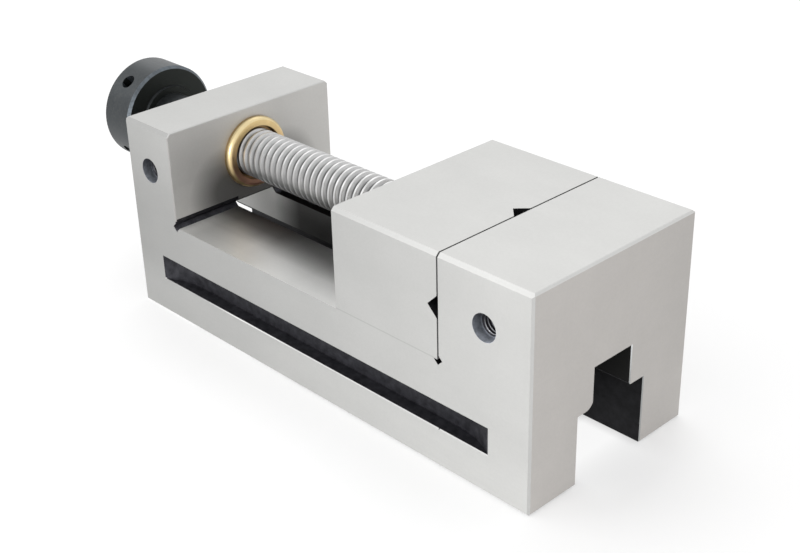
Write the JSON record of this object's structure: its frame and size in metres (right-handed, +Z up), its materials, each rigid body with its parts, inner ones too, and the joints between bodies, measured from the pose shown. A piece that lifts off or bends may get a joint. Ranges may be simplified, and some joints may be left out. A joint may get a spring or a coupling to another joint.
{
  "type": "toolmakers vise",
  "caption": "Precision ground screw vise with a one-piece body, sliding jaw with V grooves, brass nut and knob with tommy-bar holes.",
  "frame": {"origin": "on the base plane, below the middle of the whole vise with closed jaws", "axes": "+X along the spindle from the knob to the fixed jaw, +Z up, +Y to the left seen from the knob"},
  "size_m": [0.232, 0.073, 0.0754],
  "materials": {
    "ground_steel": "ground",
    "turned_steel": "turned",
    "brass": "turned",
    "black_steel": "black oxide",
    "screw_steel": "black oxide",
    "plain_steel": "zinc plated",
    "bright_steel": "polished"
  },
  "bodies": {
    "base": {"vise_body": "ground_steel", "spindle_nut": "brass", "nut_set_screw": "screw_steel"},
    "jaw": {"movable_jaw": "ground_steel", "keeper_plate": "ground_steel", "keeper_screw_front": "screw_steel", "keeper_screw_rear": "screw_steel", "keeper_washer_front": "plain_steel", "keeper_washer_rear": "plain_steel", "retaining_pin_left": "bright_steel", "retaining_pin_right": "bright_steel", "thrust_button": "bright_steel"},
    "spindle": {"lead_screw": "turned_steel", "knob": "black_steel", "knob_set_screw": "screw_steel"}
  },
  "joints": [
    {"name": "jaw_slide", "type": "slide", "parent": "base", "child": "jaw", "axis": [1, 0, 0], "range_m": [-0.08, 0]},
    {"name": "screw_spin", "type": "hinge", "parent": "jaw", "child": "spindle", "pos_m": [0, 0, 0.056], "axis": [1, 0, 0], "range_deg": [-9605, 0]}
  ],
  "couplings": [
    {"joint": "screw_spin", "follows": "jaw_slide", "rad_per_m": 2094.4}
  ]
}
